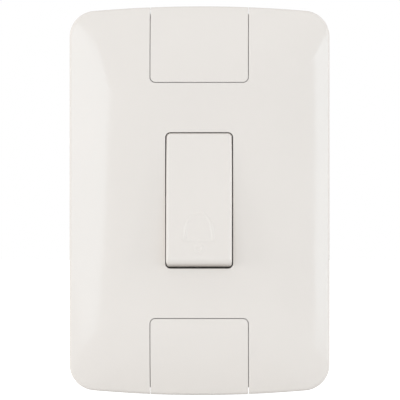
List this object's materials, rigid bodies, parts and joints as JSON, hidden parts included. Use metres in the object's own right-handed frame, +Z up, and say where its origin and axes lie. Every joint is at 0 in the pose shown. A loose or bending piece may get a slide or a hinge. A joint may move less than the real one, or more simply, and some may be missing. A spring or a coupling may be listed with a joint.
{
  "type": "doorbell push button",
  "caption": "Domed wall plate with flush screw caps and a sprung rocker key that closes a bell contact when pressed.",
  "frame": {"origin": "centre of the plate on the wall plane, midway between the two box screws", "axes": "+Y into the wall along the box screws, +Z up along the plate's length, +X to the right seen from the front"},
  "size_m": [0.079, 0.0313, 0.118],
  "materials": {
    "plate_abs": "polished, injection moulded",
    "key_abs": "polished, injection moulded",
    "frame_nylon": "fine matt, injection moulded",
    "module_nylon": "fine matt, injection moulded",
    "plunger_acetal": "smooth",
    "zinc_steel": "bright zinc plated",
    "spring_steel": "drawn wire",
    "brass": "stamped and turned",
    "contact_silver": "silver alloy"
  },
  "bodies": {
    "root": {"cover_plate": "plate_abs", "support_frame": "frame_nylon", "module_collar": "module_nylon", "module_housing": "module_nylon", "upper_box_screw": "zinc_steel", "lower_box_screw": "zinc_steel", "left_terminal_screw": "zinc_steel", "right_terminal_screw": "zinc_steel", "return_spring": "spring_steel", "left_contact_strip": "brass", "right_contact_strip": "brass", "left_terminal_block": "brass", "right_terminal_block": "brass", "left_fixed_contact": "contact_silver", "right_fixed_contact": "contact_silver"},
    "key": {"push_key": "key_abs"},
    "plunger": {"plunger": "plunger_acetal", "contact_bridge": "brass", "bridge_contacts": "contact_silver", "contact_spring": "spring_steel"},
    "upper_cap": {"upper_screw_cap": "plate_abs"},
    "lower_cap": {"lower_screw_cap": "plate_abs"}
  },
  "joints": [
    {"name": "key_press", "type": "hinge", "parent": "root", "child": "key", "pos_m": [0, -0.0038, 0], "axis": [1, 0, 0], "range_deg": [0, 7], "stiffness_Nm_per_rad": 0.069, "springref_deg": -17.3},
    {"name": "plunger_slide", "type": "slide", "parent": "root", "child": "plunger", "axis": [0, 1, 0], "range_m": [0, 0.00122], "deforming": ["return_spring"]},
    {"name": "upper_cap_lift", "type": "slide", "parent": "root", "child": "upper_cap", "axis": [0, -1, 0], "range_m": [0, 0.012]},
    {"name": "lower_cap_lift", "type": "slide", "parent": "root", "child": "lower_cap", "axis": [0, -1, 0], "range_m": [0, 0.012]}
  ],
  "couplings": [
    {"joint": "plunger_slide", "follows": "key_press", "m_per_rad": 0.00992}
  ]
}
